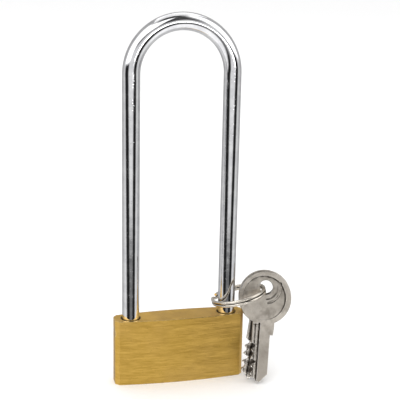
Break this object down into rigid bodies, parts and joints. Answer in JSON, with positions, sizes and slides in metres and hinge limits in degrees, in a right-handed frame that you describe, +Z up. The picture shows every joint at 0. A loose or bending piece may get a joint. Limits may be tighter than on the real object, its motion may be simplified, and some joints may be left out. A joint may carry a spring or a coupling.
{
  "type": "padlock",
  "caption": "Long-shackle brass pin-tumbler padlock with a chromed round shackle, and a split ring with two round-bow keys threaded on the heel leg.",
  "frame": {"origin": "centre of the body's flat base", "axes": "+Z up along the shackle legs, -Y the front face, +X the heel leg that carries the ring of keys"},
  "size_m": [0.0693, 0.0241, 0.1399],
  "materials": {
    "brass_body": "satin brushed",
    "brass_fittings": "turned",
    "chrome_steel": "polished chrome plate",
    "nickel": "tumbled nickel plate",
    "steel": "turned",
    "spring_steel": "drawn wire"
  },
  "bodies": {
    "lock_body": {"lock_body": "brass_body", "latch_bore_plug": "brass_fittings", "heel_retaining_pin": "steel", "plug_retaining_pin": "steel", "shackle_spring": "spring_steel", "chamber_plug_1": "brass_fittings", "chamber_plug_2": "brass_fittings", "chamber_plug_3": "brass_fittings", "chamber_plug_4": "brass_fittings", "driver_pin_1": "brass_fittings", "driver_pin_2": "brass_fittings", "driver_pin_3": "brass_fittings", "driver_pin_4": "brass_fittings", "driver_spring_1": "spring_steel", "driver_spring_2": "spring_steel", "driver_spring_3": "spring_steel", "driver_spring_4": "spring_steel"},
    "spring_follower": {"spring_follower": "steel"},
    "shackle": {"shackle": "chrome_steel"},
    "plug": {"plug": "brass_fittings", "cam": "steel", "key_pin_1": "brass_fittings", "key_pin_2": "brass_fittings", "key_pin_3": "brass_fittings", "key_pin_4": "brass_fittings"},
    "latch_bolt": {"latch_bolt": "steel"},
    "key_ring": {"key_ring": "nickel"},
    "front_key": {"front_key": "nickel"},
    "back_key": {"back_key": "nickel"}
  },
  "joints": [
    {"name": "shackle_lift", "type": "slide", "parent": "lock_body", "child": "spring_follower", "axis": [0, 0, 1], "range_m": [0, 0.0105], "deforming": ["shackle_spring"]},
    {"name": "shackle_turn", "type": "hinge", "parent": "spring_follower", "child": "shackle", "pos_m": [0.0187, 0, 0.02], "axis": [0, 0, 1], "continuous": true},
    {"name": "plug_turn", "type": "hinge", "parent": "lock_body", "child": "plug", "pos_m": [0, 0, 0.007], "axis": [0, 0, 1], "range_deg": [0, 90]},
    {"name": "latch_slide", "type": "slide", "parent": "lock_body", "child": "latch_bolt", "axis": [1, 0, 0], "range_m": [-0.0024, 0]},
    {"name": "ring_turn", "type": "hinge", "parent": "lock_body", "child": "key_ring", "pos_m": [0.0187, 0, 0.0319], "axis": [0, 0, 1], "range_deg": [-35, 35]},
    {"name": "front_key_swing", "type": "hinge", "parent": "key_ring", "child": "front_key", "pos_m": [0.03328, -0.00186, 0.03435], "axis": [-0.0827, -0.9453, 0.3156], "range_deg": [0, 35]},
    {"name": "back_key_swing", "type": "hinge", "parent": "key_ring", "child": "back_key", "pos_m": [0.03342, 0.0007, 0.03407], "axis": [-0.0839, -0.9595, 0.2689], "range_deg": [0, 35]}
  ],
  "couplings": [
    {"joint": "plug_turn", "follows": "latch_slide", "rad_per_m": -654.49}
  ]
}
